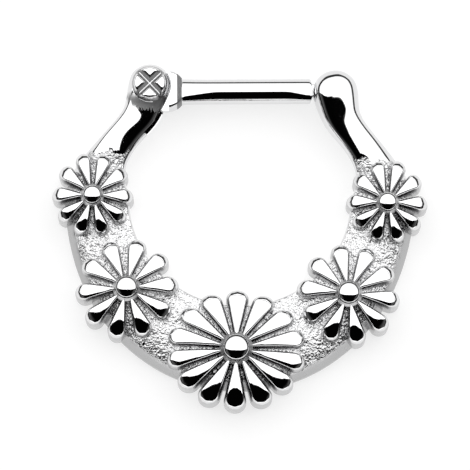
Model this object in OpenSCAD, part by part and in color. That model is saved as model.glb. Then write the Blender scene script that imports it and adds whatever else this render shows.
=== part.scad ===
// A hinged septum ring: one cast horseshoe with five raised flowers, closed by a straight bar on a rivet.
// It lies on its flat back. X runs along the bar, Y from the flowers to the bar, Z out of the front.
// Plan sizes are measured from the centre of the round inside, and centre_y then centres the whole.

/* [Horseshoe] */
// Radius of the round inside of the horseshoe
inner_r = 5.3; // [5.1:0.05:5.5]
// Width of the band at the two sides
side_w = 3; // [2.8:0.05:3.2]
// Width of the band at the bottom
bottom_w = 4; // [3.8:0.05:4.2]
// Thickness of the band, from its flat back to the crown of its ground
band_t = 1.52; // [1.4:0.02:1.7]
// Width of the smooth bevel along the outer edge of the ground
bevel_w = 0.42; // [0.3:0.02:0.5]
// Height of the centre line of the arms, ends and bar above the flat back
mid_z = 1.15; // [1.1:0.01:1.2]
// Radius of the plain ball at the right end
ball_r = 1.1; // [1.05:0.01:1.15]
// Radius of the ball-shaped ear at the left end
ear_r = 1.07; // [1:0.01:1.1]
// Place of the ball's centre in plan
ball_at = [4.42, 5];
// Place of the ear's centre, and so of the hinge axis, in plan
ear_at = [-4.41, 5.13];

/* [Flowers] */
// Height of the petals' crowns at the centre of a flower
crown_z = 2.2; // [2.1:0.05:2.3]
// How far a crown falls from the centre to the tip of a petal
droop = 0.55; // [0.3:0.05:0.6]
// Depth of a petal's sloping flank below its crown
flank_h = 0.53; // [0.4:0.01:0.6]
// Height of the underside of the petal tips above the flat back
tip_z = 0.25; // [0.1:0.05:0.4]
// Depth of the bevel along a petal's edge, and its width in plan
edge_cut = [0.16, 0.12];
// Rise of a petal's crown over that bevel, and its width in plan
crown_cut = [0.13, 0.08];

/* [Hinge and latch] */
// Radius of the straight bar
bar_r = 0.6; // [0.55:0.01:0.62]
// Place along X of the bar's right end, next to the ball
bar_end = 3.22; // [3.15:0.01:3.25]
// Radius of the ball-shaped shoulder at the bar's left end
shoulder_r = 0.97; // [0.9:0.01:1]
// Place in plan of the shoulder's centre, where the bar's axis starts
shoulder_at = [-3.62, 4.88];
// Length along the bar from the shoulder's centre to its flat right face
shoulder_l = 0.64; // [0.6:0.02:0.7]
// Rise of the bar to the right, in degrees
bar_lean = 1.7; // [0:0.1:1.8]
// Thickness of the flat lug that turns in the ear's slot
lug_t = 0.6; // [0.5:0.05:0.7]
// Radius of the lug round the rivet
lug_r = 0.9; // [0.8:0.05:0.95]
// Radius of the rivet's shaft
shaft_r = 0.35; // [0.3:0.01:0.4]
// Radius of the rivet's front head, with the cross-shaped punch mark
head_r = 0.83; // [0.78:0.01:0.85]
// Height of the front head
head_h = 0.42; // [0.35:0.01:0.45]
// Radius and height of the plain head at the back
back_head = [0.62, 0.22];
// Latch tongue at the bar's right end: length, height along Y, thickness along Z
tongue = [0.83, 0.6, 0.48];

/* [Hidden] */

// Running gap between the lug and the slot, on each face
slot_gap = 0.03;
// Radial gap between the rivet's shaft and the lug's bore, and between the shaft and the ear's bore
lug_gap = 0.03;
ear_gap = 0.01;
// Radial gap between the ear and the shoulder that turns round it
turn_gap = 0.06;
// Gap between the tongue and the walls of its slot
latch_gap = 0.07;
// Depth of the slot below the hinge axis, along the left arm, and the arm's lean from the Y axis
slot_depth = 2.2;
arm_lean = 22;
// Seats of the rivet's two heads, above and below the centre line
front_seat = 0.7;
back_seat = 0.75;
// Side of the square punch that marks the front head, and the height of its middle over the head's top
punch_w = 0.42;
punch_up = 0.06;
// The shoulder's flat left side, which clears the arm below the ear when the ring is shut:
// its place along X, and how far below the hinge axis it starts
stop_x = -3.48;
stop_drop = 0.55;
// A length that runs past the whole part
past = 20;

// One flower: place of its centre, reach of its petals sideways, up and down, number of petals,
// angle of the first petal, radius of a petal's round end, radius of its ball, radius of the ball's seat
UPPER = [[-6.97, -0.33], [1.93, 2.2, 1.95], 10, 180, 0.38, 0.43, 0.5];
LOWER = [[-5.23, -4.7], [2.45, 2.45, 2.45], 10, 222, 0.45, 0.53, 0.62];
MIDDLE = [[0, -7.43], [3.35, 2.85, 2.9], 14, -90, 0.46, 0.59, 0.73];

// Length of the bar, and the height in plan of its tongue
bar_l = (bar_end - shoulder_at.x) / cos(bar_lean);
tongue_y = shoulder_at.y + bar_l * sin(bar_lean);

// Width of the casting, across the two upper flowers
casting_w = 2 * (UPPER[1][0] - UPPER[0].x);

// Half of what the ear stands out above, less what the lowest petal stands out below
centre_y = (MIDDLE[1][2] - MIDDLE[0].y - ear_at.y - ear_r) / 2;

// Stations of the right half, from the ball to the bottom: centre x and y, width, and the share of the
// band's flat-backed form, which is 0 on the round arm
ARM = [
    [ball_at.x, ball_at.y, 1.7, 0],
    [4.7, 3.88, 1.86, 0],
    [5.22, 3.15, 1.6, 0],
    [5.82, 2.4, 1.64, 0],
    [6.36, 1.6, 1.95, 0.3],
    [6.68, 0.8, 2.55, 0.8]
];
BAND_STEP = 15;
function band_station(a) =
    let (w = side_w + (bottom_w - side_w) * pow(sin(a), 2), r = inner_r + w / 2)
    [r * cos(a), -r * sin(a), w, 1];
KEYS = concat(ARM, [for (a = [0 : BAND_STEP : 90]) band_station(a)]);
last = len(KEYS) - 1;

// A station past the bottom is the mirror image of the one before it
function mirrored(s) = [-s[0], s[1], s[2], s[3]];
function key(i) = i < 0 ? KEYS[0] : i > last ? mirrored(KEYS[2 * last - i]) : KEYS[i];

// A smooth curve through the stations, at share t from station i to the next
function smooth(i, t) =
    let (a = key(i - 1), b = key(i), c = key(i + 1), d = key(i + 2))
    (2 * b + (c - a) * t + (2 * a - 5 * b + 4 * c - d) * t * t + (3 * b - a - 3 * c + d) * t * t * t) / 2;

STEPS = 3;
HALF = concat([for (i = [0 : last - 1], s = [0 : STEPS - 1]) smooth(i, s / STEPS)], [KEYS[last]]);
PATH = concat([for (s = HALF) mirrored(s)], [for (i = [len(HALF) - 2 : -1 : 0]) HALF[i]]);

// Outward direction across the path at station i
function outward(i) =
    let (d = PATH[min(i + 1, len(PATH) - 1)] - PATH[max(i - 1, 0)], n = norm([d.x, d.y]))
    [d.y, -d.x] / n;

// Cross sections, as distance outwards and height: a round arm, and the band with its flat back
SIDES = 16;
function round_section(w) =
    [for (i = [0 : SIDES - 1]) let (a = 360 / SIDES * (i - 5.5)) [w / 2 * cos(a), mid_z + w / 2 * sin(a)]];
edge_r = 0.14;
wall_z = 0.6;
rim_z = band_t - 0.25;
function band_section(w) = [
    [edge_r - w / 2, 0], [-w / 6, 0], [w / 6, 0], [w / 2 - edge_r, 0],
    [w / 2, edge_r], [w / 2, wall_z], [w / 2 - bevel_w / 5, rim_z - 0.35], [w / 2 - bevel_w, rim_z],
    [w * 0.27, band_t - 0.08], [w * 0.09, band_t], [-w * 0.09, band_t], [-w * 0.27, band_t - 0.06],
    [edge_r - w / 2, rim_z + 0.05], [-w / 2, rim_z - 0.15], [-w / 2, wall_z], [-w / 2, edge_r]
];
function section(s) = (1 - s[3]) * round_section(s[2]) + s[3] * band_section(s[2]);

module horseshoe() {
    rings = len(PATH);
    points = [for (i = [0 : rings - 1]) let (n = outward(i)) for (q = section(PATH[i]))
        [PATH[i].x + q.x * n.x, PATH[i].y + q.x * n.y, q.y]];
    sides = [for (i = [0 : rings - 2], j = [0 : SIDES - 1]) let (k = (j + 1) % SIDES)
        [i * SIDES + j, i * SIDES + k, (i + 1) * SIDES + k, (i + 1) * SIDES + j]];
    ends = [
        [for (j = [SIDES - 1 : -1 : 0]) j],
        [for (j = [0 : SIDES - 1]) (rings - 1) * SIDES + j]
    ];
    polyhedron(points, concat(sides, ends));
}

// One petal's outline in plan, along +X: straight flanks that point at the flower's centre and a round end
ARC = 6;
function at(r, a) = [r * cos(a), r * sin(a)];
function petal(reach, end_r, hub, pitch, grow) =
    let (c = reach - end_r, p = end_r + grow, a = asin(p / c), side = c * cos(a), h = hub + grow / 2)
    concat(
        [at(h, -a), at((h + side) / 2, -a)],
        [for (k = [0 : ARC]) [c, 0] + at(p, (90 + a) * (2 * k / ARC - 1))],
        [at((h + side) / 2, a), at(h, a), at(h, pitch / 2)]
    );

// Turns a point of a petal to its place, and stretches it to the flower's own reach
function placed(q, a, reach) =
    let (r = norm(q), b = atan2(q.y, q.x) + a, s = reach / reach[2])
    [r * cos(b) * s.x, r * sin(b) * (sin(b) > 0 ? s.y : 1)];

// Height of a crown over a point of the flower's plan
function crown(q, reach) = crown_z - droop * pow(norm([q.x / reach[0], q.y / reach[1]]), 2);

module flower(f) {
    reach = f[1];
    count = f[2];
    pitch = 360 / count;
    cols = count * (ARC + 6);
    // Growth of the outline and depth under the crown, from the underside to the crown's edge
    levels = [
        [0, 0],
        [0, flank_h],
        [-edge_cut.y, edge_cut.x + crown_cut.x / 2],
        [-edge_cut.y - crown_cut.y, crown_cut.x / 3]
    ];
    walls = [for (v = [0 : len(levels) - 1], i = [0 : count - 1])
        for (q = petal(reach[2], f[4], f[6] * 0.9, pitch, levels[v][0]))
        let (p = placed(q, f[3] + i * pitch, reach)) [p.x, p.y, v == 0 ? tip_z : crown(p, reach) - levels[v][1]]];
    spines = [for (i = [0 : count - 1], r = [f[6] * 0.9, reach[2] - f[4]])
        let (p = placed([r, 0], f[3] + i * pitch, reach)) [p.x, p.y, crown(p, reach)]];
    top = (len(levels) - 1) * cols;
    spine = len(levels) * cols;
    hub = spine + 2 * count;
    sides = [for (v = [0 : len(levels) - 2], j = [0 : cols - 1]) let (k = (j + 1) % cols)
        [v * cols + j, (v + 1) * cols + j, (v + 1) * cols + k, v * cols + k]];
    crowns = [for (i = [0 : count - 1])
        let (a = top + i * (ARC + 6), tip = spine + 2 * i + 1, root = tip - 1, next = top + ((i + 1) * (ARC + 6)) % cols)
        each [
            concat([tip], [for (k = [ARC + 2 : -1 : 2]) a + k]),
            [tip, a + 2, a + 1, a, root],
            [tip, root, a + ARC + 4, a + ARC + 3, a + ARC + 2],
            [hub, a + ARC + 4, root, a],
            [hub, next, a + ARC + 5, a + ARC + 4]
        ]];
    under = [for (j = [0 : cols - 1]) [hub + 1, j, (j + 1) % cols]];
    translate([f[0].x, f[0].y, 0]) {
        polyhedron(concat(walls, spines, [[0, 0, crown_z], [0, 0, tip_z]]), concat(sides, crowns, under));
        translate([0, 0, band_t / 2])
            cylinder(r = f[6], h = crown_z - band_t / 2 + 0.04, $fn = 20);
        translate([0, 0, crown_z])
            sphere(r = f[5], $fn = 20);
    }
}

// What the hinge takes out of the ear: the slot, the bore and the seats of the rivet's two heads
module hinge_cut() {
    slot_t = lug_t + 2 * slot_gap;
    translate([ear_at.x, ear_at.y, mid_z]) {
        rotate([0, 0, -arm_lean])
            translate([-past / 2, -slot_depth, -slot_t / 2])
                cube([past, slot_depth + ear_r + 1, slot_t]);
        cylinder(r = shaft_r + ear_gap, h = past, center = true, $fn = 64);
        translate([0, 0, front_seat])
            cylinder(r = head_r + 0.05, h = past, $fn = 64);
        translate([0, 0, -back_seat - past])
            cylinder(r = back_head[0] + 0.05, h = past, $fn = 64);
    }
}

// The slot in the ball, open to the left and to the top, where the tongue swings in
module latch_cut() {
    left = ball_at.x - ball_r - 1;
    translate([left, tongue_y - tongue.y / 2 - latch_gap, mid_z - tongue.z / 2 - latch_gap])
        cube([bar_end + tongue.x + latch_gap - left, past, tongue.z + 2 * latch_gap]);
}

module ring() {
    color("gainsboro")
        difference() {
            union() {
                resize([casting_w, 0, 0])
                    union() {
                        horseshoe();
                        flower(MIDDLE);
                        for (side = [0, 1])
                            mirror([side, 0, 0]) {
                                flower(UPPER);
                                flower(LOWER);
                            }
                    }
                translate([ear_at.x, ear_at.y, mid_z])
                    sphere(r = ear_r, $fn = 64);
                translate([ball_at.x, ball_at.y, mid_z])
                    sphere(r = ball_r, $fn = 64);
            }
            hinge_cut();
            latch_cut();
        }
}

module bar() {
    color("silver")
        difference() {
            union() {
                translate([shoulder_at.x, shoulder_at.y, mid_z])
                    rotate([0, 90, bar_lean]) {
                        cylinder(r = bar_r, h = bar_l, $fn = 64);
                        intersection() {
                            sphere(r = shoulder_r, $fn = 64);
                            translate([0, 0, -shoulder_r])
                                cylinder(r = shoulder_r, h = shoulder_l + shoulder_r, $fn = 64);
                        }
                        translate([-tongue.z / 2, -tongue.y / 2, bar_l / 2])
                            cube([tongue.z, tongue.y, bar_l / 2 + tongue.x]);
                    }
                translate([ear_at.x, ear_at.y, mid_z])
                    cylinder(r = lug_r, h = lug_t, center = true, $fn = 64);
            }
            translate([ear_at.x, ear_at.y, 0])
                cylinder(r = shaft_r + lug_gap, h = past, center = true, $fn = 64);
            for (z = [mid_z + lug_t / 2, mid_z - lug_t / 2 - past])
                translate([ear_at.x, ear_at.y, z]) {
                    cylinder(r = ear_r + turn_gap, h = past, $fn = 64);
                    translate([0, -past, 0])
                        cube([stop_x - ear_at.x, past - stop_drop, past]);
                }
        }
}

module rivet() {
    front_z = mid_z + front_seat;
    back_z = mid_z - back_seat;
    color("white")
        difference() {
            union() {
                translate([ear_at.x, ear_at.y, back_z])
                    cylinder(r = shaft_r, h = front_z - back_z, $fn = 64);
                translate([ear_at.x, ear_at.y, front_z])
                    head(head_r, head_h);
                translate([ear_at.x, ear_at.y, back_z])
                    mirror([0, 0, 1]) head(back_head[0], back_head[1]);
            }
            for (a = [45, -45])
                translate([ear_at.x, ear_at.y, front_z + head_h + punch_up])
                    rotate([0, 0, a]) rotate([45, 0, 0])
                        cube([past, punch_w, punch_w], center = true);
        }
}

// A low round head with its flat face down
module head(r, h) {
    dome_r = (r * r + h * h) / (2 * h);
    rotate_extrude($fn = 64)
        intersection() {
            translate([0, h - dome_r])
                circle(r = dome_r, $fn = 96);
            square([r, h]);
        }
}

translate([0, centre_y, 0]) {
    ring();
    bar();
    rivet();
}
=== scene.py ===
# A hinged septum ring of polished surgical steel, lying on its flat back on a pale studio floor.
# Places in plan are in millimetres from the centre of the round inside, as in the part's own source.
from math import asin, atan2, cos, hypot, pi, radians, sin, sqrt, tan

import bpy
from mathutils import Matrix, Vector, noise


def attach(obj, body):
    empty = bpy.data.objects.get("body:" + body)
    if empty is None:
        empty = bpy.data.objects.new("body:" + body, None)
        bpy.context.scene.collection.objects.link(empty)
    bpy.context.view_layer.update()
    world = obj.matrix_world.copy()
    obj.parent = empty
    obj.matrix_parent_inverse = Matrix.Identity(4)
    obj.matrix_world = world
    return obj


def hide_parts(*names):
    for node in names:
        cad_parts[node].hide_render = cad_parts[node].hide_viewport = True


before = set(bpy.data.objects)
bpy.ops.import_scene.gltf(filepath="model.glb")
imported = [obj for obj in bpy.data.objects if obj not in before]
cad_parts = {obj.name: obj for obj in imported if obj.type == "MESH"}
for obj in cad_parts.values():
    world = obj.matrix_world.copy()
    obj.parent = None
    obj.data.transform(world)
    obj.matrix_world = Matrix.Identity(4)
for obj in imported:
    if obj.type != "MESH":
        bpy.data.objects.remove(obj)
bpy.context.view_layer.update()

MM = 0.001
for thing in bpy.context.selected_objects:
    thing.select_set(False)

# Camera. A long lens looks down on the ring from 81 degrees, turned a little so that
# the ring leans clockwise in the picture.
VIEW_AT = Vector((-0.19, 0.145, 1.15)) * MM
VIEW_FAR, VIEW_HEIGHT, VIEW_ROLL = 200 * MM, radians(81.2), radians(1.4)
away = Vector((0, -cos(VIEW_HEIGHT), sin(VIEW_HEIGHT)))
lens_data = bpy.data.cameras.new("camera")
lens_data.lens, lens_data.sensor_width = 323.3, 36
lens_data.clip_start, lens_data.clip_end = 10 * MM, 20
lens_data.dof.use_dof = False
camera = bpy.data.objects.new("camera", lens_data)
bpy.context.scene.collection.objects.link(camera)
camera.matrix_world = (
    Matrix.Translation(VIEW_AT + away * VIEW_FAR)
    @ away.to_track_quat("Z", "Y").to_matrix().to_4x4()
    @ Matrix.Rotation(VIEW_ROLL, 4, "Z")
)
bpy.context.scene.camera = camera

# Horseshoe. The ring is one steel casting: a band with a flat back and a stippled front, which runs up
# on both sides into smooth round arms and ends in a ball-shaped ear and a plain ball. It is a grid
# wrapped round the path of the band, closed along its seam and capped at both ends.
BASE = Vector((0, 2.065, 0))
INNER_R, SIDE_W, BOTTOM_W = 5.3, 3.0, 4.0
BAND_T, BEVEL_W, EDGE_R, WALL_Z, RIM_Z, MID_Z = 1.52, 0.42, 0.14, 0.6, 1.27, 1.15
BALL_AT, BALL_R = Vector((4.42, 5.0)), 1.1
EAR_AT, EAR_R, EAR_LEAN = Vector((-4.41, 5.13)), 1.07, radians(-22)
HINGE_AT = BASE + Vector((EAR_AT.x, EAR_AT.y, 0))
# Centre, width and share of the band's flat-backed form, from under the ball to the first flower, then
# how high the front of the arm is against a full round, on the ear's side and on the ball's
ARM = [(4.7, 3.88, 1.86, 0, 0.74, 0.93), (5.22, 3.15, 1.6, 0, 0.82, 0.83),
       (5.82, 2.4, 1.64, 0, 0.72, 0.72), (6.36, 1.6, 1.95, 0.3, 0.61, 0.6),
       (6.68, 0.8, 2.55, 0.8, 0.5, 0.5)]


def ball_end(centre, radius, side):
    """Stations over the far half of a ball, from its top to where the arm starts."""
    down = (Vector((side * ARM[0][0], ARM[0][1])) - centre).normalized()
    for turn in [3, 9] + list(range(16, 105, 8)):
        spot = centre - down * radius * cos(radians(turn))
        yield (spot.x, spot.y, 2 * radius * sin(radians(turn)), 0, 1)


def band_station(angle):
    """A station of the band, at an angle down from its side. It is widest at the bottom."""
    width = SIDE_W + (BOTTOM_W - SIDE_W) * sin(angle) ** 2
    far = INNER_R + width / 2
    return (far * cos(angle), -far * sin(angle), width, 1, 0.5)


band = [band_station(radians(a)) for a in range(0, 91, 15)]
keys = list(ball_end(EAR_AT, EAR_R, -1)) + [(-x, y, w, s, ear) for x, y, w, s, ear, ball in ARM]
keys += [(-x, *others) for x, *others in band] + band[-2::-1]
keys += [(x, y, w, s, ball) for x, y, w, s, ear, ball in ARM[::-1]]
keys += list(ball_end(BALL_AT, BALL_R, 1))[::-1]


def through(keys, gap):
    """Stations on a smooth curve through the keys, about gap apart."""
    run = [0]
    for a, b in zip(keys, keys[1:]):
        run.append(run[-1] + hypot(b[0] - a[0], b[1] - a[1]))
    lean = []
    for i in range(len(keys)):
        a, b = max(i - 1, 0), min(i + 1, len(keys) - 1)
        lean.append([(q - p) / (run[b] - run[a]) for p, q in zip(keys[a], keys[b])])
    stations = []
    for i in range(len(keys) - 1):
        far = run[i + 1] - run[i]
        steps = max(1, round(far / gap))
        for k in range(steps):
            t = k / steps
            h = (2 * t**3 - 3 * t**2 + 1, t**3 - 2 * t**2 + t, 3 * t**2 - 2 * t**3, t**3 - t**2)
            stations.append([h[0] * p + h[1] * far * m + h[2] * q + h[3] * far * n
                             for p, q, m, n in zip(keys[i], keys[i + 1], lean[i], lean[i + 1])])
    return stations + [list(keys[-1])]


# The path is eased between the balls, and less and less towards them, so that the arms flow out of them
path = through(keys, 0.085)
EASINGS, KEPT, EASED_OVER = 34, 10, 12
for _ in range(EASINGS):
    eased = [list(path[0])]
    for j in range(1, len(path) - 1):
        share = min(1, max(0, (min(j, len(path) - 1 - j) - KEPT) / EASED_OVER))
        eased.append([b + share * (a - 2 * b + c) / 4
                      for a, b, c in zip(path[j - 1], path[j], path[j + 1])])
    path = eased + [list(path[-1])]


def add_node(tree, kind, *in_order, **by_name):
    """A shader node. Its inputs are given in order or by name, as a value or as another node's output."""
    node = tree.nodes.new(kind)
    for key in [key for key in by_name if hasattr(node, key)]:
        setattr(node, key, by_name.pop(key))
    inputs = list(zip(node.inputs, in_order))
    inputs += [(node.inputs[key.replace("_", " ")], value) for key, value in by_name.items()]
    for socket, value in inputs:
        if hasattr(value, "is_output"):
            tree.links.new(value, socket)
        else:
            socket.default_value = value
    return node


def steel_finish(name, colour, low, high, grain, dull=0.93):
    """A steel surface: reflective colour, least and most roughness, bumps as (size in mm, height in mm),
    and how bright its dullest patches are against the rest."""
    made = bpy.data.materials.new(name)
    made.use_nodes = True
    tree = made.node_tree
    shader = tree.nodes["Principled BSDF"]
    shader.inputs["Metallic"].default_value = 1.0
    place = tree.nodes.new("ShaderNodeTexCoord").outputs["Object"]
    cloud = add_node(tree, "ShaderNodeTexNoise", Vector=place, Scale=700.0, Detail=3.0).outputs["Fac"]
    rough = add_node(tree, "ShaderNodeMapRange", Value=cloud, From_Min=0.35, From_Max=0.65,
                     To_Min=low, To_Max=high)
    tree.links.new(rough.outputs[0], shader.inputs["Roughness"])
    tint = add_node(tree, "ShaderNodeMix", Factor=cloud, A=(*[c * dull for c in colour], 1),
                    B=(*colour, 1), data_type="RGBA")
    tree.links.new(tint.outputs["Result"], shader.inputs["Base Color"])
    bumped = shader.inputs["Normal"]
    for size, height in grain[::-1]:
        bumps = add_node(tree, "ShaderNodeTexNoise", Vector=place, Scale=1000.0 / size, Detail=2.0)
        bump = add_node(tree, "ShaderNodeBump", Height=bumps.outputs["Fac"], Distance=height * MM,
                        Strength=1.0)
        tree.links.new(bump.outputs["Normal"], bumped)
        bumped = bump.inputs["Normal"]
    return made


# The casting is mirror-polished on its flowers, arms and ball, and keeps the grainy skin of the mould on
# the sunken ground between the flowers. Its sides are only tumbled, and its petal flanks and the creases
# at the foot of its balls take a rougher steel whose darker colour is painted shade
POLISH = (0.78, 0.78, 0.785)
polished = steel_finish("polished steel", POLISH, 0.02, 0.05, [(2.5, 0.003), (0.25, 0.0003)])
cast_skin = steel_finish("stippled casting", (0.72, 0.72, 0.725), 0.08, 0.2,
                         [(0.2, 0.06), (0.1, 0.04)], 0.7)
satin = steel_finish("satin edge", (0.57, 0.57, 0.574), 0.24, 0.36, [(0.5, 0.006), (0.07, 0.003)])
tumbled = steel_finish("tumbled side", (0.5, 0.5, 0.503), 0.2, 0.34, [(0.5, 0.008), (0.07, 0.003)], 0.85)
# The dark colour of this steel is painted shade in the flanks and creases where it is used
hollow_shade_steel = steel_finish("steel with painted shade in hollows", (0.4, 0.4, 0.405), 0.16, 0.28, [(0.3, 0.006), (0.07, 0.003)])
# Under the rivet head the ear's colour is darkened, in streaks along the arm that run out into the
# polish, and the steel there is rougher. The dark colour is painted shade from the head, on the lower
# side of the ear only
rivet_shade_steel = steel_finish("painted shade under the rivet", POLISH, 0.02, 0.05, [(2.5, 0.003)])
RIVET_SHADE_REACH, RIVET_SHADE_RAGGED, RIVET_SHADE_COLOUR, RIVET_SHADE_ROUGHNESS = (0.84, 0.74), 0.9, (0.27, 0.27, 0.272, 1), 0.5
rivet_shade_nodes = rivet_shade_steel.node_tree
from_rivet = add_node(rivet_shade_nodes, "ShaderNodeVectorMath", rivet_shade_nodes.nodes["Texture Coordinate"].outputs["Object"],
                      HINGE_AT * MM, operation="SUBTRACT").outputs[0]
along = add_node(rivet_shade_nodes, "ShaderNodeMapping", Vector=from_rivet, Rotation=(0, 0, EAR_LEAN),
                 Scale=(9000, 1300, 0)).outputs[0]
streaks = add_node(rivet_shade_nodes, "ShaderNodeTexNoise", Vector=along, Scale=1.0, Detail=3.0).outputs["Fac"]
in_mm = add_node(rivet_shade_nodes, "ShaderNodeMapping", Vector=from_rivet, Scale=(1000, 1000, 0)).outputs[0]
far = add_node(rivet_shade_nodes, "ShaderNodeVectorMath", in_mm, operation="LENGTH").outputs["Value"]
ragged = add_node(rivet_shade_nodes, "ShaderNodeMath", streaks, RIVET_SHADE_RAGGED, operation="MULTIPLY").outputs[0]
edge = add_node(rivet_shade_nodes, "ShaderNodeMath", far, ragged, operation="SUBTRACT").outputs[0]
height = add_node(rivet_shade_nodes, "ShaderNodeSeparateXYZ", in_mm).outputs["Y"]
below = add_node(rivet_shade_nodes, "ShaderNodeMapRange", Value=height, From_Min=-0.35, From_Max=-0.7).outputs[0]
near = add_node(rivet_shade_nodes, "ShaderNodeMapRange", Value=edge, From_Min=RIVET_SHADE_REACH[0],
                From_Max=RIVET_SHADE_REACH[1]).outputs[0]
mask = add_node(rivet_shade_nodes, "ShaderNodeMath", below, near, operation="MULTIPLY").outputs[0]
for name, value, sort in (("Base Color", RIVET_SHADE_COLOUR, "RGBA"), ("Roughness", RIVET_SHADE_ROUGHNESS, "FLOAT")):
    socket = rivet_shade_nodes.nodes["Principled BSDF"].inputs[name]
    blend = add_node(rivet_shade_nodes, "ShaderNodeMix", Factor=mask, A=socket.links[0].from_socket, B=value,
                     data_type=sort)
    rivet_shade_nodes.links.new(blend.outputs["Result"], socket)
CAST = (polished, cast_skin, satin, hollow_shade_steel, rivet_shade_steel, tumbled)
FRONT_STEPS = 37


def band_section(w):
    """Points of the band's section: distance outwards, height, place of 16 round the arm's circle."""
    o, r = w / 2, EDGE_R
    corner = [(sin(pi * k / 8), cos(pi * k / 8), k / 4) for k in range(4)]
    points = [((o - r) * (k / 3 - 1), 0, k / 2) for k in range(6)]
    points += [(o - r + r * s, r - r * c, 3 + k) for s, c, k in corner]
    points += [(o, r + (WALL_Z - r) * k / 2, 4 + k / 2) for k in range(2)]
    for t in [k / 7 for k in range(7)]:
        points.append((o - BEVEL_W * t * (0.6 + 0.4 * t), WALL_Z + (RIM_Z - WALL_Z) * t, 5 + 2 * t))
    left, right, crown = r - o, o - BEVEL_W, BAND_T - RIM_Z
    for t in [k / FRONT_STEPS for k in range(FRONT_STEPS)]:
        x = right + (left - right) * t
        fall = crown * (x / right) ** 2.4 if x > 0 else (crown - 0.05) * (x / left) ** 2.4
        points.append((x, BAND_T - fall, 7 + 5 * t))
    points += [(left - r * s, RIM_Z - 0.15 + 0.2 * c, 12 + k) for s, c, k in corner]
    points += [(-o, (RIM_Z - 0.15) * (1 - k / 4) + r * k / 4, 13 + k / 2) for k in range(4)]
    points += [(left - r * c, r - r * s, 15 + k) for s, c, k in corner]
    return points + points[:1]


# The ground is stippled up to a wavy line under the arms
GROUND_FROM, GROUND_TOP, STIPPLE_H = 19, 1.95, 0.03
GROUND_TO = GROUND_FROM + FRONT_STEPS


def stippled(x, y):
    """How rough the front of the casting is left: 1 on the band, 0 up the arms."""
    return max(0, min(1, (GROUND_TOP + 0.35 * noise.noise(Vector((x * 2, y * 2, 3))) - y) * 4))


def only(*things):
    """Select these things and nothing else, and work on the first."""
    bpy.ops.object.select_all(action="DESELECT")
    for thing in things:
        thing.select_set(True)
    bpy.context.view_layer.objects.active = things[0]


def dress(thing, *finishes):
    for finish in finishes:
        thing.data.materials.append(finish)


def close_rim(thing, *drops):
    """Merge the doubled points of a sheet, draw its open rim down by the given lengths, and cap it."""
    only(thing)
    bpy.ops.object.mode_set(mode="EDIT")
    bpy.ops.mesh.select_all(action="SELECT")
    bpy.ops.mesh.remove_doubles(threshold=0.001 * MM)
    bpy.ops.mesh.select_all(action="DESELECT")
    bpy.ops.mesh.select_mode(type="EDGE")
    bpy.ops.mesh.select_non_manifold()
    for drop in drops:
        bpy.ops.mesh.extrude_region_move(TRANSFORM_OT_translate={"value": (0, 0, -drop * MM)})
    bpy.ops.mesh.edge_face_add()
    bpy.ops.mesh.select_all(action="SELECT")
    bpy.ops.mesh.normals_make_consistent(inside=False)
    bpy.ops.object.mode_set(mode="OBJECT")


# Under the ear, the arm's crest lies towards its outer side, by a share of its half width. The plain
# ball is a pebble: its front is flatter than a round one and turns down more sharply at its edge. This
# fades out along the arm, as the arm's front gets lower
CREST, PEBBLE, FADE_FROM, FADE_OVER = 0.36, 0.25, 0.55, 0.4
around = len(band_section(SIDE_W)) - 1
bpy.ops.mesh.primitive_grid_add(x_subdivisions=around, y_subdivisions=len(path) - 1, size=MM)
casting = bpy.context.object
casting.name = "steel_ring"
dress(casting, *CAST)
for j, (x, y, w, share, front) in enumerate(path):
    ahead, behind = path[min(j + 1, len(path) - 1)], path[max(j - 1, 0)]
    out = Vector((ahead[1] - behind[1], behind[0] - ahead[0], 0)).normalized()
    pebble = 1 - PEBBLE * max(0, min(1, (front - FADE_FROM) / FADE_OVER))
    for i, (far, up, place) in enumerate(band_section(max(w, 1.5))):
        turn = 2 * pi / 16 * (place - 5.5)
        across, rise, crest = cos(turn), sin(turn), 0
        if x < 0:
            crest = min(CREST, 2 * (1 - front)) * max(rise, 0) ** 2
        elif rise > 0:
            across, rise = abs(across) ** pebble * (1 if across > 0 else -1), rise**pebble
            if y > BALL_AT.y:
                rise *= (w / 2 / BALL_R) ** (pebble - 1)
        far = (1 - share) * w / 2 * (across + crest) + share * far
        up = (1 - share) * (MID_Z + w / 2 * rise * (front if rise > 0 else 1)) + share * up
        spot = Vector((x, y, up)) + out * far
        if GROUND_FROM - 1 <= i <= GROUND_TO:
            rough = STIPPLE_H * noise.noise(spot * 5) + STIPPLE_H * noise.noise(spot * 9) - 0.02
            spot.z += stippled(spot.x, spot.y) * rough
        casting.data.vertices[j * (around + 1) + i].co = (BASE + spot) * MM
# The sides are tumbled up to where the arms start, and the front of the ear round the rivet takes the
# steel with painted shade under the rivet head
SIDE_TOP, EAR_FRONT_Z, SHADED_EAR_RADIUS = 0.8, 1.2, 1.9
for face in casting.data.polygons:
    i, (x, y, z) = face.index % around, face.center / MM - BASE
    finish = polished
    if GROUND_FROM - 1 <= i <= GROUND_TO and stippled(x, y) > 0.4:
        finish = cast_skin
    elif i < GROUND_FROM and y < SIDE_TOP + 0.5 * noise.noise(Vector((x, y, z)) * 4):
        finish = tumbled
    elif x < 0 and z > EAR_FRONT_Z and hypot(x - EAR_AT.x, y - EAR_AT.y) < SHADED_EAR_RADIUS:
        finish = rivet_shade_steel
    face.material_index = CAST.index(finish)
close_rim(casting)

# Flowers. Five daisies are cast in one with the band. Each has round-ended petals that droop to their
# tips, with steep flanks, and a ball that sits in a low round cup.
CROWN_Z, DROOP, FOOT_Z, PETAL_ROOT, PETAL_ROUND = 2.2, 0.5, 0.25, 0.25, 0.04
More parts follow.
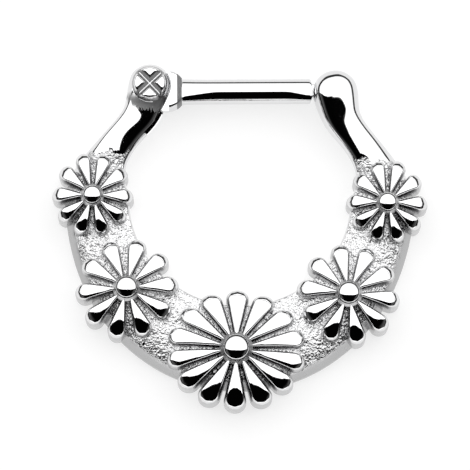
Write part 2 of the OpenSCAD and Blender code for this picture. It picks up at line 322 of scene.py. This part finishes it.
# Centre, reach of the petals sideways, up and down, number of petals, angle of the first one in degrees,
# radius of a petal's round end, radius of the ball and of its collar
UPPER = ((-6.97, -0.33), (1.93, 2.2, 1.95), 10, 180, 0.38, 0.42, 0.56)
LOWER = ((-5.23, -4.7), (2.45, 2.45, 2.45), 10, 222, 0.45, 0.5, 0.65)
MIDDLE = ((0, -7.43), (3.35, 2.85, 2.9), 14, -90, 0.46, 0.59, 0.78)
# A petal's flank and edge, as distance in from its outline and depth under its crown
FLANK = ((0, 0.5), (0.012, 0.36), (0.028, 0.23), (0.048, 0.13), (0.07, 0.065), (0.095, 0.026),
         (0.12, 0.007), (0.15, 0))
# A petal's sides go down under its edge in two lengths, and what lies lower than FOOT goes to the band
SIDES, FOOT = (0.5, 1.2), -1.5


def flank_depth(d):
    """Depth under the crown at a distance in from the petal's outline."""
    for (d0, z0), (d1, z1) in zip(FLANK, FLANK[1:]):
        if d < d1:
            return z0 + (z1 - z0) * (d - d0) / (d1 - d0)
    return 0


def petal(reach, end_r, root):
    """One petal along +X, with its crown flat at height 0. A grid is pulled to a round-ended outline."""
    centre = reach - end_r
    lean = asin(end_r / centre)
    full = centre * cos(lean) ** 2
    xs = [root + (full - root) * k / 9 for k in range(10)]
    start = asin((full - centre) / end_r)
    xs += [centre + end_r * sin(start + (pi / 2 - start) * k / 14) for k in range(1, 15)]
    ins = [d for d, z in FLANK] + [0.3]
    half_ys = len(ins)
    bpy.ops.mesh.primitive_grid_add(x_subdivisions=len(xs) - 1, y_subdivisions=2 * half_ys, size=MM)
    made = bpy.context.object
    for i, v in enumerate(made.data.vertices):
        row, col = divmod(i, len(xs))
        x = xs[col]
        wide = x * tan(lean) if x <= full else sqrt(max(end_r**2 - (x - centre) ** 2, 0))
        k = row if row <= half_ys else 2 * half_ys - row
        inset = min(ins[k] if k < half_ys else wide, wide * (k / half_ys) ** 0.7)
        y = (wide - inset) * (-1 if row <= half_ys else 1)
        near = max(inset * cos(lean) if x <= full else end_r - hypot(x - centre, y), 0)
        v.co = Vector((x, y, -flank_depth(near) - PETAL_ROUND * (y / end_r) ** 2)) * MM
    close_rim(made, *SIDES)
    dress(made, *CAST)
    # Below the crown's edge, the sides at the tip are satin, and the flanks take the darker steel:
    # painted shade
    for face in made.data.polygons:
        if face.center.z < -0.12 * MM:
            at_tip = face.center.x > (centre + 0.2 * end_r) * MM
            face.material_index = CAST.index(satin if at_tip else hollow_shade_steel)
    return made


def turned(profile, name, steps=64):
    """A closed turned solid from (radius, height) points that start and end on its axis."""
    bpy.ops.mesh.primitive_circle_add(vertices=len(profile), radius=MM)
    made = bpy.context.object
    made.name = name
    for v, (r, z) in zip(made.data.vertices, profile):
        v.co = Vector((r, 0, z)) * MM
    only(made)
    bpy.ops.object.mode_set(mode="EDIT")
    bpy.ops.mesh.select_all(action="DESELECT")
    bpy.ops.object.mode_set(mode="OBJECT")
    on_axis = {0, len(profile) - 1}
    for e in made.data.edges:
        if set(e.vertices) == on_axis:
            e.select = True
    bpy.ops.object.mode_set(mode="EDIT")
    bpy.ops.mesh.select_mode(type="EDGE")
    bpy.ops.mesh.delete(type="EDGE")
    bpy.ops.mesh.select_all(action="SELECT")
    bpy.ops.mesh.spin(steps=steps, angle=2 * pi, center=(0, 0, 0), axis=(0, 0, 1))
    bpy.ops.mesh.select_all(action="SELECT")
    bpy.ops.mesh.remove_doubles(threshold=0.001 * MM)
    bpy.ops.mesh.normals_make_consistent(inside=False)
    bpy.ops.object.mode_set(mode="OBJECT")
    return made


def copied(thing):
    """A copy with a mesh of its own."""
    made = thing.copy()
    made.data = thing.data.copy()
    bpy.context.scene.collection.objects.link(made)
    return made


def weld(target, *others, operation="UNION"):
    """Join the others to a solid one by one, or cut them out of it, and drop them."""
    for other in others:
        step = target.modifiers.new("weld", "BOOLEAN")
        step.operation, step.solver, step.object = operation, "MANIFOLD", other
        only(target)
        bpy.ops.object.modifier_apply(modifier=step.name)
        bpy.data.objects.remove(other)


DOME_STEPS = 20
for (cx, cy), reach, count, first, end_r, ball_r, collar_r in (UPPER, LOWER, MIDDLE):
    model = petal(reach[2], end_r, PETAL_ROOT)
    # The ball stands proud of a sloped collar. Its front is a low dome that steepens to its edge
    dome, drop = [(0, CROWN_Z + ball_r)], 0
    for k in range(1, DOME_STEPS + 1):
        drop += tan(pi / 4 * ((k - 0.5) / DOME_STEPS) ** 1.5) * ball_r / DOME_STEPS
        dome.append((ball_r * k / DOME_STEPS, CROWN_Z + ball_r - drop))
    edge_z = CROWN_Z + ball_r - drop
    cup = [(ball_r + 0.02, edge_z - 0.04), (ball_r + 0.02, edge_z - 0.1), (ball_r - 0.01, CROWN_Z + 0.02),
           (ball_r + 0.03, CROWN_Z + 0.07), (collar_r, CROWN_Z - 0.07), (collar_r + 0.02, CROWN_Z - 0.6),
           (collar_r, 0.8), (0, 0.8)]
    flower = turned(dome + cup, "flower")
    dress(flower, *CAST)
    # Below the ball's edge, the sloped collar is satin, and the ball's foot and the crease under it take
    # the darker steel: painted shade
    for face in flower.data.polygons:
        if face.center.z < (edge_z - 0.01) * MM:
            on_collar = hypot(face.center.x, face.center.y) > (ball_r + 0.04) * MM
            face.material_index = CAST.index(satin if on_collar else hollow_shade_steel)
    for i in range(count):
        leaf = copied(model)
        angle = radians(first + 360 / count * i)
        for v in leaf.data.vertices:
            x, y, z = v.co / MM
            x, y = x * cos(angle) - y * sin(angle), x * sin(angle) + y * cos(angle)
            x, y = x * reach[0] / reach[2], y * (reach[1] / reach[2] if y > 0 else 1)
            out = hypot(x / reach[0], y / reach[1 if y > 0 else 2])
            v.co = Vector((x, y, FOOT_Z if z < FOOT else CROWN_Z - DROOP * out**5.5 + z)) * MM
        weld(flower, leaf)
    for side in ([1] if cx == 0 else [1, -1]):
        twin = copied(flower)
        for v in twin.data.vertices:
            v.co = (BASE + Vector((cx, cy, 0))) * MM + v.co
            v.co.x *= side
        if side < 0:
            twin.data.flip_normals()
        weld(casting, twin)
    for part in (model, flower):
        bpy.data.objects.remove(part)

# Hinge ear and latch. A saw cut splits the ear and the top of its arm for the bar's lug, the ear is
# faced off for the rivet's heads and drilled, and a slot in the plain ball takes the bar's tongue.
BAR_FROM, BAR_TO, BAR_LEAN = Vector((-3.62, 4.88, MID_Z)), 3.22, radians(1.7)
TONGUE_Y = BAR_FROM.y + (BAR_TO - BAR_FROM.x) * tan(BAR_LEAN)
# The rivet's seats in front and behind, and each bore in the ear as radius, lowest and highest point:
# for the shaft, and for the two heads
HEAD_Z, BACK_Z = 1.85, 0.4
BORES = ((0.36, -1, 4), (0.88, HEAD_Z, 4), (0.67, -1, BACK_Z))
# The saw cut's sizes and how far it is set down the ear, and the slot's sizes and middle
SAW, SAW_SET = (8, 4.27, 0.66), (0, -0.065, 0)
SLOT, SLOT_AT = (2, 2, 0.62), (3.12, TONGUE_Y + 0.63, MID_Z)


def shift(thing, by):
    """Move a thing's mesh by millimetres."""
    for v in thing.data.vertices:
        v.co += by * MM


def block(size, offset, at, lean=0.0, ease=0.0):
    """A block, set off from a point along its own axes, with its edges eased by a share of its sides."""
    bpy.ops.mesh.primitive_cube_add(size=1)
    made = bpy.context.object
    if ease:
        only(made)
        step = made.modifiers.new("ease", "BEVEL")
        step.width, step.segments = ease, 3
        bpy.ops.object.modifier_apply(modifier=step.name)
    for v in made.data.vertices:
        own = Vector([c * s + o for c, s, o in zip(v.co, size, offset)])
        v.co = (Matrix.Rotation(lean, 3, "Z") @ own + at) * MM
    return made


saw = block(SAW, SAW_SET, HINGE_AT + Vector((0, 0, MID_Z)), EAR_LEAN)
weld(casting, saw, operation="DIFFERENCE")
for radius, low, high in BORES:
    drill = turned([(0, high), (radius, high), (radius, low), (0, low)], "drill")
    shift(drill, HINGE_AT)
    weld(casting, drill, operation="DIFFERENCE")
slot = block(SLOT, SLOT_AT, BASE)
weld(casting, slot, operation="DIFFERENCE")
only(casting)
bpy.ops.object.shade_smooth_by_angle(angle=radians(38))
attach(casting, "casting")
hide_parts("ring")

# Bar. The straight post is turned steel, 1.2 mm thick. Its left end has a round shoulder with a flat lug
# that turns on the rivet, and its right end a flat tongue that snaps into the ball's slot.
BAR_R, BAR_GAP, BAR_L = 0.6, 0.05, (BAR_TO - BAR_FROM.x) / cos(BAR_LEAN)
SHOULDER_R, SHOULDER_H, SHOULDER_L, SLOPE_L, SLOPE_H = 0.97, 0.8, 0.74, 0.24, 0.17
END = BAR_L + BALL_AT.x - BALL_R - BAR_TO - BAR_GAP
bar_steel = steel_finish("drawn steel", POLISH, 0.02, 0.04, [(2.5, 0.002)])
# The dark colour of this steel is painted shade, on the strip where the shoulder slopes down to the bar
shoulder_shade_steel = steel_finish("painted shade on the shoulder slope", (0.26, 0.26, 0.262), 0.4, 0.6, [(0.25, 0.012), (0.06, 0.005)])


def arc(radius, z, first, last, count):
    """Points (radius, height) on a ball's outline, between two angles from its top."""
    return [(max(radius * sin(radians(a)), 0), z + radius * cos(radians(a)))
            for a in [first + (last - first) * k / count for k in range(count + 1)]]


eased_end = [(0, END), (0.2, END), (0.35, END), (0.46, END), (0.52, END - 0.01), (0.57, END - 0.04),
             (0.592, END - 0.08), (BAR_R, END - 0.15)]
post = [(BAR_R, END - 0.15 - 0.12 * k) for k in range(1, 12)]
fillet = [(BAR_R + 0.025 * (k / 14) ** 3, 2.7 - 0.1379 * k) for k in range(15)]
shoulder = arc(SHOULDER_R, 0, 40.3, 180, 46)
bar = turned(eased_end + post + fillet + shoulder, "straight_bar", 96)
dress(bar, bar_steel, shoulder_shade_steel)
# The shoulder's sloping strip takes the dark, rougher steel: painted shade
for face in bar.data.polygons:
    if SHOULDER_L - SLOPE_L < face.center.z / MM < SHOULDER_L + 0.01:
        face.material_index = 1
stand = Matrix.Rotation(BAR_LEAN, 4, "Z") @ Matrix.Rotation(pi / 2, 4, "Y")
for v in bar.data.vertices:
    if v.co.z / MM < SHOULDER_L + 0.015:
        # The shoulder's front is flat and slopes down to the bar, and its back is round
        out = min(hypot(v.co.z, v.co.y) / MM / SHOULDER_R, 1)
        slope = max(0, min(1, (v.co.z / MM - SHOULDER_L + SLOPE_L) / SLOPE_L))
        front = (SHOULDER_H - SLOPE_H * slope) * (1 - out**18) ** 0.4
        v.co.x = MM * (SHOULDER_H * (1 - out**4) ** 0.5 if v.co.x > 0 else -front)
    else:
        # Towards both ends, the round is pressed a little square on the side of the flowers
        near = max(0, 1 - (v.co.z / MM - SHOULDER_L) / 1.7, 1 - (END - v.co.z / MM) / 1.2)
        turn, n = atan2(v.co.y, v.co.x), 2 + 1.8 * min(1, near) ** 1.5
        fuller = (abs(cos(turn)) ** n + abs(sin(turn)) ** n) ** (-1 / n)
        if v.co.x < 0 and v.co.y < 0:
            v.co.x, v.co.y = v.co.x * fuller, v.co.y * fuller
        if v.co.z / MM > END - 0.2:
            # Above and below, the end reaches over the ball that it closes on
            v.co.z += BALL_R * (1 - (1 - abs(v.co.x / MM / BALL_R) ** 2.67) ** 0.375) * MM
    v.co = stand @ v.co + (BASE + BAR_FROM) * MM
# In front of the lug and behind it, the shoulder is cut back from the round ear and from its arm
LUG_R, LUG_H, LUG_EDGE, LUG_BORE_R, CLEAR_R = 0.9, 0.3, 0.03, 0.38, EAR_R + 0.06
STOP_W, STOP_X, STOP_Y = 4, -1.07, -2.55
# The tongue starts inside the bar, and its edges are eased
TONGUE, TONGUE_IN, TONGUE_EASE = (1.33, 0.6, 0.48), 0.5, 0.12
for low, high in ((MID_Z + LUG_H, 4), (-2, MID_Z - LUG_H)):
    clear = turned([(0, high), (CLEAR_R, high), (CLEAR_R, low), (0, low)], "clear", 96)
    shift(clear, HINGE_AT)
    stop = block((STOP_W, STOP_W, high - low), (STOP_X, STOP_Y, (low + high) / 2), HINGE_AT)
    weld(bar, clear, stop, operation="DIFFERENCE")
lug_edge = [(LUG_R - LUG_EDGE, LUG_H), (LUG_R, LUG_H - LUG_EDGE), (LUG_R, LUG_EDGE - LUG_H),
            (LUG_R - LUG_EDGE, -LUG_H)]
lug = turned([(0, LUG_H)] + lug_edge + [(0, -LUG_H)], "lug")
bore = turned([(0, 1), (LUG_BORE_R, 1), (LUG_BORE_R, -1), (0, -1)], "bore")
tongue_at = (BAR_L - TONGUE_IN + TONGUE[0] / 2, 0, 0)
tongue = block(TONGUE, tongue_at, BASE + BAR_FROM, BAR_LEAN, TONGUE_EASE)
for part in (lug, bore):
    shift(part, HINGE_AT + Vector((0, 0, MID_Z)))
for part in (lug, bore, tongue):
    dress(part, bar_steel)
weld(bar, lug, tongue)
weld(bar, bore, operation="DIFFERENCE")
only(bar)
bpy.ops.object.shade_smooth_by_angle(angle=radians(30))
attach(bar, "bar")
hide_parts("bar")

# Rivet. The hinge pin is a soft steel rivet. A cross-shaped punch has spread its front head into
# four lobes, and its back head is a plain low dome.
HEAD_R, HEAD_H, SHAFT_R, BACK_R, BACK_H = 0.86, 0.42, 0.35, 0.62, 0.22
# The head's least height, the half width of the struck lines, how far in a pillow rises from them and
# from the rim, and the share of its height that it has at the lines
HEAD_EDGE, LINE_W, LOBE_W, RIM_W, LINE_SHARE = 0.03, 0.035, 0.26, 0.27, 0.42
rivet_steel = steel_finish("staked steel", (0.84, 0.84, 0.845), 0.04, 0.09,
                           [(0.5, 0.003), (0.12, 0.0008)])
# The dark colour of this steel is painted shade in the struck cross and round the head's rim
cross_shade_steel = steel_finish("painted shade in the struck cross", (0.36, 0.36, 0.362), 0.25, 0.4, [(0.2, 0.01), (0.06, 0.006)])


def from_cross(x, y):
    """How far a point lies from the nearer arm of the struck X."""
    return min(abs(x - y), abs(x + y)) / sqrt(2)


def head_height(x, y):
    """Height of the struck head over its seat: four pillows between the arms of an X."""
    valley = min(1, max(0, from_cross(x, y) - LINE_W) / LOBE_W)
    inside = min(1, max(0, HEAD_R - hypot(x, y)) / RIM_W)
    pillow = (1 - (1 - inside) ** 2.6) * (LINE_SHARE + (1 - LINE_SHARE) * (1 - (1 - valley) ** 2))
    return HEAD_EDGE + (HEAD_H - HEAD_EDGE) * pillow


bpy.ops.mesh.primitive_grid_add(x_subdivisions=72, y_subdivisions=72, size=2)
rivet = bpy.context.object
rivet.name = "staked_rivet"
for v in rivet.data.vertices:
    x, y = v.co.x, v.co.y
    # A square grid is drawn out to a disc, denser towards its rim
    x, y = x * sqrt(1 - y * y / 2), y * sqrt(1 - x * x / 2)
    x, y = x * HEAD_R, y * HEAD_R
    v.co = Vector((x, y, HEAD_Z + head_height(x, y))) * MM
dress(rivet, rivet_steel, cross_shade_steel)
for face in rivet.data.polygons:
    x, y, z = face.center / MM
    # The struck cross and a band where the head falls to its rim take dark, rougher steel: painted shade
    if 0.015 < from_cross(x, y) < 0.15 or HEAD_R - 0.1 < hypot(x, y) < HEAD_R - 0.02:
        face.material_index = 1
close_rim(rivet, 0.04)
back_dome = (BACK_R**2 + BACK_H**2) / (2 * BACK_H)
back_turn = asin(BACK_R / back_dome) * 180 / pi
back_arc = arc(back_dome, BACK_Z + BACK_H - back_dome, back_turn, 0, 12)
back_head = [(r, 2 * BACK_Z - z) for r, z in back_arc]
shaft = turned([(0, HEAD_Z), (SHAFT_R, HEAD_Z), (SHAFT_R, BACK_Z)] + back_head, "shaft")
dress(shaft, rivet_steel)
weld(rivet, shaft)
shift(rivet, HINGE_AT)
only(rivet)
bpy.ops.object.shade_smooth_by_angle(angle=radians(40))
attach(rivet, "casting")
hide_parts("rivet")

# Studio. A white dome lights the ring from all round, and a dark card stands low in front of it,
# towards its flowers, which gives polished steel its crisp black bands. The floor is a light table,
# which keeps the ring's shadow pale.
world = bpy.data.worlds.new("studio dome")
bpy.context.scene.world = world
world.use_nodes = True
sky = world.node_tree
sky.nodes.clear()


def sky_math(operation, *values):
    """The outcome of a sum on the sky's numbers, each a value or another sum."""
    return add_node(sky, "ShaderNodeMath", *values, operation=operation).outputs[0]


def sky_times(a, b):
    return sky_math("MULTIPLY", a, b)


def sky_without(a, b=1.0):
    """What is left of 1 where part b of a is taken away."""
    return sky_math("SUBTRACT", 1, sky_times(a, b))


def sky_step(value, edge, soft):
    """0 below an edge and 1 above it, with a soft change between."""
    return add_node(sky, "ShaderNodeMapRange", Value=value, From_Min=edge - soft / 2,
                    From_Max=edge + soft / 2, interpolation_type="SMOOTHSTEP").outputs[0]


# Directions in degrees: up from the horizon, and round to either side from straight in front
toward = sky.nodes.new("ShaderNodeTexCoord").outputs["Generated"]
toward = add_node(sky, "ShaderNodeSeparateXYZ", toward).outputs
rise = sky_times(sky_math("ARCSINE", toward["Z"]), 180 / pi)
sideways, forward = sky_math("ABSOLUTE", toward["X"]), sky_times(toward["Y"], -1)
round_to = sky_times(180 / pi, sky_math("ARCTAN2", sideways, forward))
# The card stands from 8 to 80 degrees up in front, and lower and greyer towards its sides, with a weak
# sheen on its lower half there. At the sides and behind, a thin dark line runs round the horizon, and a
# seam of the dome above it. A pair is an edge and how soft it is
CARD_FOOT, CARD_TOP, CARD_SIDE, CARD_END, CARD_DARK = (8, 3), 80, 92, (102, 20), 0.9995
SHEEN_TOP, SHEEN_FROM, SHEEN = (22, 34), (50, 36), 0.17
BEHIND_FROM, RIM_TOP, RIM_DARK = (52, 20), (18, 2.5), 0.97
SEAM_FOOT, SEAM_TOP, SEAM_DARK = (22, 1), (25, 1), 0.75
DOME_LIGHT, BACKDROP = 2.4, (0.97, 0.97, 0.97, 1)
slant = sky_math("POWER", sky_math("DIVIDE", round_to, CARD_SIDE), 4)
top = sky_math("SUBTRACT", CARD_TOP, sky_times(CARD_TOP, slant))
over = sky_step(sky_math("SUBTRACT", rise, top), 0, 2.5)
under = sky_step(rise, *CARD_FOOT)
side = sky_step(round_to, *CARD_END)
dark = sky_times(sky_times(sky_without(over), under), sky_without(side))
behind = sky_step(round_to, *BEHIND_FROM)
rim = sky_times(sky_without(sky_step(rise, *RIM_TOP)), behind)
seam = sky_math("SUBTRACT", sky_step(rise, *SEAM_FOOT), sky_step(rise, *SEAM_TOP))
seam = sky_times(seam, behind)
sheen = sky_times(sky_without(sky_step(rise, *SHEEN_TOP)), sky_step(round_to, *SHEEN_FROM))
light = sky_math("MAXIMUM", sky_without(dark, CARD_DARK), sky_times(sheen, SHEEN))
light = sky_times(light, sky_without(rim, RIM_DARK))
light = sky_times(light, sky_without(seam, SEAM_DARK))
lit = add_node(sky, "ShaderNodeBackground", Strength=sky_times(light, DOME_LIGHT)).outputs[0]
plain = add_node(sky, "ShaderNodeBackground", Color=BACKDROP).outputs[0]
to_lens = sky.nodes.new("ShaderNodeLightPath").outputs["Is Camera Ray"]
seen = add_node(sky, "ShaderNodeMixShader", to_lens, lit, plain).outputs[0]
add_node(sky, "ShaderNodeOutputWorld", Surface=seen)

bpy.ops.mesh.primitive_plane_add(size=3)
floor = bpy.context.object
floor.name = "floor"
paper = bpy.data.materials.new("pale paper")
paper.use_nodes = True
sheet = paper.node_tree.nodes["Principled BSDF"].inputs
for name, value in {"Base Color": (0.3, 0.3, 0.3, 1), "Roughness": 0.6, "Specular IOR Level": 0.0,
                    "Emission Color": (1, 1, 1, 1), "Emission Strength": 0.73}.items():
    sheet[name].default_value = value
dress(floor, paper)
bpy.context.scene.view_settings.view_transform = "Standard"
